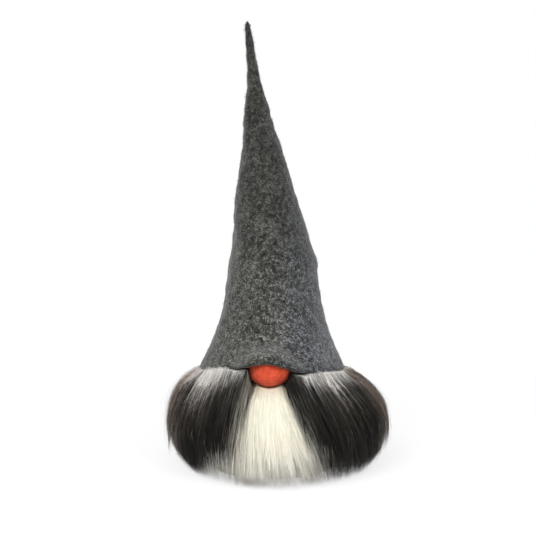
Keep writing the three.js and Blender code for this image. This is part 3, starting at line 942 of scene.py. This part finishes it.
def make_nose(felt, fibres):
    """The nose with the loose fibres on it. Where the ball presses on the body it is flattened to it."""
    turn = np.arange(96)[None, :] * 3.75
    rise = np.linspace(-90, 90, 50)[1:-1, None]
    poles = off_body(nose_point(np.zeros(2), np.array([-90.0, 90.0])))
    nose = round_skin("nose_ball", off_body(nose_point(turn, rise)), *poles, felt)

    rng = np.random.default_rng(33)
    count = 2600
    turn = rng.uniform(-115, 115, count)
    rise = np.degrees(np.arcsin(rng.uniform(-1, 0.75, count)))
    return nose, make_fuzz("nose_fuzz", fibres, nose_point, turn, rise, rng,
                           length=2.6, lift=0.4, width=0.14, seed=34)


def make_body(cloth):
    """The stuffed bag: pleats run from the gathered middle of its crown and die out down its sides.

    A pleat is 1 - |sin(9 angle + 25 sin(3 angle))|, in degrees. Pleats stand out into the room under the
    hat, by 1.3 mm at most, and lie 0.6 mm in between. The cloth has soft dents, and none at the foot.
    """
    angle = (np.arange(128) * 360 / 128)[None, :]
    straight = np.linspace(BODY_FOOT, HEAD_TOP - HEAD_CROWN, 60)
    crown = HEAD_TOP - HEAD_CROWN + HEAD_CROWN * sind(np.linspace(0, 88, 30)[1:])
    height = np.concatenate([straight, crown])[:, None]
    radius = body_radius(height) + 0 * angle
    gather = smoothstep(height, HEAD_TOP - 34, HEAD_TOP - 3)
    pleat = 1 - np.abs(sind(angle * PLEATS + 25 * sind(angle * 3)))
    room = np.clip(hat_inner_radius(height) - 0.7 - radius, 0, 1.3)
    near_middle = np.clip(radius / 20, 0, 1)
    radius = radius - 0.2 + gather * near_middle * (room * pleat - 0.6 * (1 - pleat))
    rings = on_round(angle, radius, height)
    dent = smoothstep(height, 4, 20) * (1 - gather) * 0.33
    rings = pushed_out(rings, (lumps(rings, 30, 41) - 1) * dent)
    rings[..., 2] += gather * near_middle * (1.0 * pleat - 0.3)
    return round_skin("body_bag", rings, [0, 0, BODY_FOOT], [0, 0, HEAD_TOP - 0.9], cloth)


def make_hat_wadding(fluff):
    """Loose wadding in the cone: a plug with lumps, a little smaller than the hollow and rounded at both
    ends as (1 - |s|^6)^(1 / 3), with s from -1 to 1 along it.
    """
    angle = (np.arange(120) * 3.0)[None, :]
    low, high = HEAD_TOP + 18, HEAD_TOP + 76
    height = np.linspace(low, high, 60)[1:-1, None]
    up = (height - low) / (high - low)
    rounding = np.clip((1 - np.abs(2 * up - 1) ** 6), 0, 1) ** (1 / 3)
    rings = on_round(angle, (hat_inner_radius(height) - 3.2) * rounding, height)
    rings = pushed_out(rings, 1.1 * lumps(rings, 9, 51) + 0.4 * lumps(rings, 3.5, 52))
    rings[..., 0] += lean_at(height)
    poles = [lean_at(low), 0, low + 0.6], [lean_at(high), 0, high - 0.6]
    return round_skin("cone_wadding", rings, *poles, fluff)


# Hair

def fall_line(angle, layer, along, top, straight):
    """Radius and height along a fall of hair.

    The upper half is a quarter of an oval from the brim out to the belly, radius = start + (belly - start)
    sin(t)^p and height = middle + (top - middle) cos(t)^p, and the lower half is a quarter ellipse that
    curls in to the foot, or hangs down from the belly by the share straight. Deeper layers, under 1, stay
    nearer the hide and leave it lower. The right side is fuller from the belly down.
    """
    fuller = FULLER_RIGHT * sind(angle)
    pinch = FOOT_PINCH * bell(np.abs(signed(angle)), PINCH_ANGLE, PINCH_REACH)
    front = FRONT_FOOT * bell(signed(angle), 0, FRONT_REACH)
    upper = np.radians(90 * np.clip(along / BELLY_SHARE, 0, 1))
    lower = np.radians(90 * np.clip((along - BELLY_SHARE) / (1 - BELLY_SHARE), 0, 1))
    belly, foot = BELLY_RADIUS + fuller * np.sin(upper) ** 2, HAIR_FOOT + fuller - pinch + front
    out = HAIR_START + (belly - HAIR_START) * np.sin(upper) ** HAIR_POWER
    curl = foot + (belly - foot) * mix(np.cos(lower), 1, straight)
    radius = np.where(along <= BELLY_SHARE, out, curl)
    height = np.where(
        along <= BELLY_SHARE,
        BELLY_HEIGHT + (top - BELLY_HEIGHT) * np.cos(upper) ** HAIR_POWER * mix(0.5, 1.0, layer),
        BELLY_HEIGHT * (1 - np.sin(lower)),
    )
    return HAIR_START + (radius - HAIR_START) * layer, height


def clear_of_felt(points, room=0.9):
    """Points before the nose are moved off it, and those under the felt are kept below the brim's edge at
    each turn of the hat.

    Seen from the front, the nose hides an oval below its middle and a strip of the same width above. The
    cap rises softly beyond the brim, by 14 mm at 7 mm from it.
    """
    moved = points.copy()
    centre = on_round(NOSE_ANGLE, NOSE_REACH, NOSE_HEIGHT)
    right = moved[..., 0] - centre[0]
    up = moved[..., 2] - centre[2]
    depth = np.hypot(right / (NOSE_HALF[0] + 0.4), np.minimum(up, 0) / (NOSE_HALF[2] + 0.2))
    grow = np.where(moved[..., 1] < -40, np.maximum(1 / np.maximum(depth, 0.05), 1), 1)
    moved[..., 0] = centre[0] + right * grow
    moved[..., 2] = centre[2] + np.where(up < 0, up * grow, up)
    angle = np.degrees(np.arctan2(moved[..., 0], -moved[..., 1]))
    radius = np.hypot(moved[..., 0], moved[..., 1])
    edge = np.min([hair_top(angle + turn) for turn in HAT_TURNS], axis=0) + UNDER_BRIM - room
    reach = brim_reach(angle)
    beyond = smoothstep(radius, reach + 0.5, reach + 7.0)
    moved[..., 2] = np.minimum(moved[..., 2], edge + beyond * 14)
    return moved


def make_hair(name, material, count, start, span, layers, width, seed, spread, ends, stations, hold=0.5,
              wisps=0.35, cut=(0.55, 0.86), puffed=0.5, thin=(), beard=False):
    """A fall of strands between two root angles.

    Each strand takes the angle, drift and wave of its lock more and more towards its tip, up to the share
    hold. Its angle grows by the spread times the share of the height that it has fallen. Some locks, the
    share wisps, are guard hair, shorter by a factor within cut: they lie outermost, run together to a point
    and stand off there, and so do single brief strands between them. Some strands, the share puffed, run out
    under the brim and rise over its edge. All leave the curve a little at their tips, and a few stray from
    it. The pelt thins out towards the angles in thin: a strand at a distance d under the reach r moves to
    sqrt(d r).
    """
    rng = np.random.default_rng(seed)
    angle = start + span * rng.uniform(0, 1, count)
    for border in thin:
        off = angle - border
        thinned = border + np.sign(off) * np.sqrt(np.abs(off) * THIN_REACH)
        angle = np.where(np.abs(off) < THIN_REACH, thinned, angle)
    layer = layers[0] + (layers[1] - layers[0]) * rng.uniform(0, 1, count) ** 0.55

    # What the strands of a lock share
    lock_count = max(int(span / LOCK_WIDTH * LOCK_TIERS), 4)
    lock_place = np.sort(rng.uniform(start, start + span, lock_count))
    near = angle + rng.normal(0, LOCK_WIDTH * 0.6, count)
    lock = np.searchsorted(lock_place, near).clip(0, lock_count - 1)
    wispy = (rng.uniform(0, 1, lock_count) < wisps)[lock]
    lock_drift = rng.normal(0, LOCK_DRIFT, lock_count)[lock]
    lock_wave = rng.normal(0, 1, (lock_count, 3))[lock]
    lock_hold = np.where(wispy, 0.6 if beard else 0.92, rng.uniform(0.1, hold, lock_count)[lock])
    lock_reach = rng.normal(0, 0.02, lock_count)[lock]
    lock_short = rng.uniform(*cut, lock_count)[lock] + rng.normal(0, 0.03, count)
    lock_flare = np.minimum(rng.gamma(2.2, 1.6, lock_count), 6.0)[lock] + rng.normal(0, 0.4, count)
    straight = np.where(wispy, rng.uniform(0.1, 0.75, lock_count)[lock], 0.0)

    # How far down each strand ends, and the curve that it follows
    low, high = ends(angle)
    long = np.random.default_rng(seed + 3).uniform(0, 1, count) < LONG_SHARE
    low, high = (np.where(long, np.maximum(end, least), end) for end, least in zip((low, high), LONG_ENDS))
    reach = np.clip(mix(low, high, rng.uniform(0, 1, count) ** 0.6) + lock_reach, 0.3, 0.995)
    reach = np.where(wispy, reach * lock_short, reach)
    brief = (rng.uniform(0, 1, count) < wisps * 0.6) & ~wispy
    reach = np.where(brief, reach * mix(cut[0] - 0.1, 1.0, rng.uniform(0, 1, count)), reach)
    layer = np.where(wispy | brief, mix(layer, 1.0, 0.7), layer)
    share = np.linspace(0, 1, stations)[None, :]
    along = share**STATION_POWER * reach[:, None]
    top = (BEARD_TOP if beard else hair_top(angle) + UNDER_BRIM) - ROOT_GAP - rng.gamma(1.2, 0.8, count)
    top = np.broadcast_to(np.asarray(top)[:, None], along.shape)
    radius, height = fall_line(angle[:, None], layer[:, None], along, top, straight[:, None])

    # Sideways: into the lock, away from the beard, and in waves
    fallen = 1 - height / top
    bunch = lock_hold[:, None] * np.where(wispy[:, None], share**2, along**1.6)
    turned = mix(angle[:, None], lock_place[lock][:, None], bunch) + lock_drift[:, None] * fallen
    turned = turned + spread(turned) * fallen
    wave = lock_wave[:, 0:1] * np.sin(3.0 * along + lock_wave[:, 1:2] * 3)
    own = rng.normal(0, OWN_WAVE, (count, 1)) * along * np.sin(5 * along + rng.uniform(0, 6, (count, 1)))
    cross = rng.normal(0, CROSSING, (count, 1)) * along**2
    loose = np.where(wispy, 0.3, 1.0)[:, None]
    turned = turned + np.degrees((wave * along + (own + cross) * loose) / np.maximum(radius, 30))

    # Outwards: swelling, straying and flaring at the tips
    stray = np.where(rng.uniform(0, 1, (count, 1)) > STRAY_FROM, rng.gamma(1.8, 1.1, (count, 1)), 0)
    own_flare = np.where(brief, rng.gamma(2.0, 1.4, count), rng.gamma(1.4, 0.8, count) * layer**3)
    flare = np.where(wispy, lock_flare, own_flare)[:, None] * share**3
    swell = lock_wave[:, 2:3] * 0.9 + rng.normal(0, 0.9, (count, 1)) * loose
    radius = radius + swell * np.sin(math.pi * np.clip(along, 0, 1) * 0.9) + stray * share**1.6 + flare
    furthest = BELLY_RADIUS + FULLER_RIGHT * sind(angle) + LOOSE_REACH
    radius = np.minimum(radius, furthest[:, None])

    # Tufts that run out under the brim and rise over its edge
    puff = np.where(rng.uniform(0, 1, (count, 1)) < puffed, rng.gamma(1.8, 1.8, (count, 1)), 0)
    off_nose = smoothstep(np.abs(angle - NOSE_ANGLE), 18, 26)[:, None]
    clear = mix(HAIR_START, brim_reach(angle)[:, None] + 0.8, off_nose)
    radius = np.where(puff > 0, np.maximum(radius, clear), radius)
    sideways = 1 - 0.75 * smoothstep(np.abs(angle), 45, 70)
    tuft = 1 + 1.7 * bell(angle, TUFT_ANGLE, TUFT_HALF)
    puff = puff * bell(radius - BRIM_RADIUS, 4.5, 5) * (sideways * tuft)[:, None] * off_nose
    puff = np.minimum(puff, MOST_PUFF)
    height = np.maximum(height + stray * 0.5 * share + puff, 0.4 + rng.uniform(0, 1.6, (count, 1)))

    root = on_round(angle, HIDE_RADIUS, height[:, 0] - rng.uniform(ROOT_GAP, 2.0, count))
    path = np.concatenate([root[:, None], on_round(turned, radius, height)], axis=1)
    column = np.floor((angle - start) / span * COLUMNS + rng.normal(0, 7, count))
    size = width * rng.uniform(0.6, 1.4, count)
    return strand_mesh(name, clear_of_felt(path), size, material, np.clip(column, 0, COLUMNS - 1), seed + 1)


def outer_ends(angle):
    """Least and greatest share of the fall that the dark outer hair covers, both less at the sides of the
    beard than elsewhere. On the left they grow in proportion to the angle, from 15 to 45 degrees.
    """
    left = np.where(angle < 0, 1 - np.clip((-15 - angle) / 30, 0, 1), 0)
    right = 1 - smoothstep(np.abs(angle - 10), 3, 10)
    high = 0.95 - 0.27 * left - 0.20 * right
    return high - 0.22 + 0.08 * np.maximum(left, right), high


def whole_ends(angle):
    """Hair that reaches the floor or almost."""
    return 0.90 + 0 * angle, 1.0 + 0 * angle


def side_spread(angle):
    """The side hair sweeps away from the beard as it falls, less and less towards the back."""
    off = signed(angle - NOSE_ANGLE)
    most = np.sign(off) * (BEARD_HALF_FOOT - BEARD_HALF_TOP) + BEARD_DRIFT
    return most * (1 - smoothstep(np.abs(off), 60, 176)) * np.clip(np.abs(off) / 9, 0, 1)


def beard_spread(angle):
    """The beard widens in proportion to the distance from its middle and drifts to the right."""
    return (angle - NOSE_ANGLE) * (BEARD_HALF_FOOT / BEARD_HALF_TOP - 1) + BEARD_DRIFT


def make_all_hair():
    """The beard in two layers, and the dark hair of each side in three falls over a fuller layer."""
    made = []
    wide = BEARD_HALF_TOP + 1.0
    start, span = NOSE_ANGLE - wide, 2 * wide
    pale = pale_hair("beard_cream", start, span)
    for name, count, layers, width, seed, stations in (
        ("beard_outer", 4950, (0.74, 1.0), 0.22, 61, 7),
        ("beard_under", 2600, (0.4, 0.86), 0.45, 63, 4),
    ):
        beard = make_hair(name, pale, count, start, span, layers, width, seed, beard_spread, whole_ends,
                          stations, hold=0.25, wisps=0.22, cut=(0.82, 0.97), puffed=0.0,
                          thin=(NOSE_ANGLE - wide, NOSE_ANGLE + wide), beard=True)
        made.append((beard, "beard_hair", "white_hair"))
    for side, sign, seed in (("left", -1, 70), ("right", 1, 75)):
        marks = [NOSE_ANGLE + sign * (BEARD_HALF_TOP - BEARD_OVERLAP), sign * 62, sign * 120, sign * 180]
        falls = zip(("front", "side", "back"), (4950, 4950, 4300), marks, marks[1:])
        for number, (part, count, a, b) in enumerate(falls):
            start, span = min(a, b), abs(b - a)
            name = f"{side}_hair_{part}"
            fall = make_hair(name, dark_hair(name, start, span, False), count, start, span, (0.7, 1.0), 0.21,
                             seed + 10 * number, side_spread, outer_ends, 7, thin=marks[:1])
            made.append((fall, f"{side}_hair", "dark_hair"))
        start, span = min(marks[0], marks[-1]), abs(marks[-1] - marks[0])
        name = f"{side}_hair_under"
        fall = make_hair(name, dark_hair(name, start, span, True), 5600, start, span, (0.45, 1.0), 0.55,
                         seed + 50, side_spread, whole_ends, 4, wisps=0.0)
        made.append((fall, f"{side}_hair", "dark_hair"))
    return made


# Putting the figure together

def dress_nodes():
    """Finishes for the construction that stays as it is. The wadding's is used again for the plug."""
    foot = matted("foot_felt", (0.07, 0.07, 0.065), (0.022, 0.022, 0.02), 420)
    suede = grained("suede", (0.62, 0.48, 0.31), (0.36, 0.26, 0.15), 1400)
    card = matted("grey_card", (0.40, 0.34, 0.26), (0.22, 0.18, 0.13), 300, depth=0.0002)
    cotton = woven("cotton_cloth", (0.80, 0.76, 0.67), (0.55, 0.51, 0.43), 0.0009)
    sand = grained("sand_grains", (0.72, 0.60, 0.38), (0.34, 0.25, 0.13), 1100)
    thread = matted("waxed_thread", (0.06, 0.06, 0.06), (0.012, 0.012, 0.012), 1500, 0.7, 0.0001)
    fluff = matted("fluff", (0.93, 0.92, 0.89), (0.70, 0.69, 0.66), 260, depth=0.001)
    for material, nodes in (
        (foot, ["base_cloth"]),
        (card, ["base_board"]),
        (cotton, ["ballast_sack"]),
        (sand, ["ballast_sand"]),
        (fluff, ["body_wadding"]),
        (suede, ["beard_hide", "left_hide", "right_hide"]),
        (thread, ["base_seam", "sack_tie", "nose_thread"]),
        (thread, ["left_cheek_seam", "right_cheek_seam", "back_seam"]),
    ):
        for node in nodes:
            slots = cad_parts[node].data.materials
            slots.clear()
            slots.append(material)
    return fluff


def build():
    """Every new piece in place of the node that it stands for, which is hidden; all but the hat's pieces on a
    body.
    """
    fluff = dress_nodes()
    hat = make_hat(grey_felt())
    hat_fuzz = make_hat_fuzz(fuzz("felt_fuzz", (0.020, 0.021, 0.020), (0.17, 0.173, 0.17), 0.25, 1.8))
    kink = np.array([lean_at(KINK_HEIGHT), 0, KINK_HEIGHT])
    slope = (lean_at(KINK_HEIGHT + BEND_HALF) - lean_at(KINK_HEIGHT - BEND_HALF)) / 2
    for piece in (hat, hat_fuzz):
        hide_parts("hat_shell", "hat_tip")
        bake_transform(piece)

    red_fuzz = fuzz("red_fuzz", (0.34, 0.028, 0.013), (0.7, 0.11, 0.05), 0.2)
    for piece in make_nose(red_felt(), red_fuzz):
        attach(piece, "figure")
        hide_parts("nose")

    for piece, node, slot in make_all_hair():
        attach(piece, "figure")
        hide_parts(node)

    bag = make_body(woven("linen", (0.60, 0.55, 0.44), (0.38, 0.34, 0.26), 0.0011))
    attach(bag, "figure")
    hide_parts("body_cover")

    plug = make_hat_wadding(fluff)
    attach(plug, "wadding")
    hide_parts("hat_wadding")


def make_stage():
    """A wide white floor that keeps the figure's shadow, and a white surround."""
    half = 6.0
    mesh = bpy.data.meshes.new("floor")
    corners = [(-half, -half, 0), (half, -half, 0), (half, half, 0), (-half, half, 0)]
    mesh.from_pydata(corners, [], [(0, 1, 2, 3)])
    sheet = Sheet("white_paper", Roughness=0.9, Specular_IOR_Level=0.1)
    grain = sheet.noise(sheet.place(), 40, 2)
    sheet.finish(sheet.blend((0.90, 0.90, 0.90), (0.93, 0.93, 0.93), grain))
    away = sheet.node("ShaderNodeVectorMath", sheet.place(), operation="LENGTH", out="Value")
    white = sheet.seen() * (0.72 + away.soft(0.12, 0.5) * 0.28)
    paper = Link(sheet, sheet.shader.outputs[0])
    both = sheet.node("ShaderNodeMixShader", white, paper, sheet.node("ShaderNodeEmission", WHITE, 1.0))
    sheet.tree.links.new(both.socket, sheet.tree.nodes["Material Output"].inputs[0])
    mesh.materials.append(sheet.material)
    floor = placed("floor", mesh)

    world = bpy.data.worlds.new("studio")
    world.use_nodes = True
    bpy.context.scene.world = world
    world.node_tree.nodes.clear()
    sky = Nodes(world.node_tree)
    lit, white = (sky.node("ShaderNodeBackground", WHITE, power) for power in (0.75, 1.0))
    both = sky.node("ShaderNodeMixShader", sky.seen(), lit, white)
    sky.tree.links.new(both.socket, sky.tree.nodes.new("ShaderNodeOutputWorld").inputs[0])


def add_softbox(name, place, target, size, power):
    """A square area lamp at a place, aimed at a target, in metres."""
    lamp = bpy.data.lights.new(name, "AREA")
    lamp.size = size
    lamp.energy = power
    way = np.asarray(target) - np.asarray(place)
    flat = math.hypot(way[0], way[1])
    placed(name, lamp, place, (math.atan2(flat, -way[2]), 0, -math.atan2(way[0], way[1])))


def light_and_camera():
    """Two softboxes, and the camera where the picture was taken from: level with the hat, looking down."""
    add_softbox("key", (-0.8, -1.5, 1.15), (0, 0, 0.12), 1.2, 34)
    add_softbox("fill", (1.1, -1.4, 0.9), (0, 0, 0.12), 1.2, 22)

    image_width = 536
    focal_pixels = 1444.4
    middle_pixel = (272.5, 247.1)
    place, target = np.array([0, -1.300, 0.360]), np.array([0, 0, 0.200])
    camera = bpy.data.cameras.new("camera")
    camera.sensor_width = 36
    camera.lens = focal_pixels / image_width * camera.sensor_width
    camera.shift_x = (image_width / 2 - middle_pixel[0]) / image_width
    camera.shift_y = (middle_pixel[1] - image_width / 2) / image_width
    tilt = math.radians(90) - math.atan2(place[2] - target[2], target[1] - place[1])
    scene = bpy.context.scene
    scene.camera = placed("camera", camera, place, (tilt, 0, 0))
    scene.view_settings.view_transform = "Standard"


light_and_camera()
make_stage()
build()

bpy.context.view_layer.update()
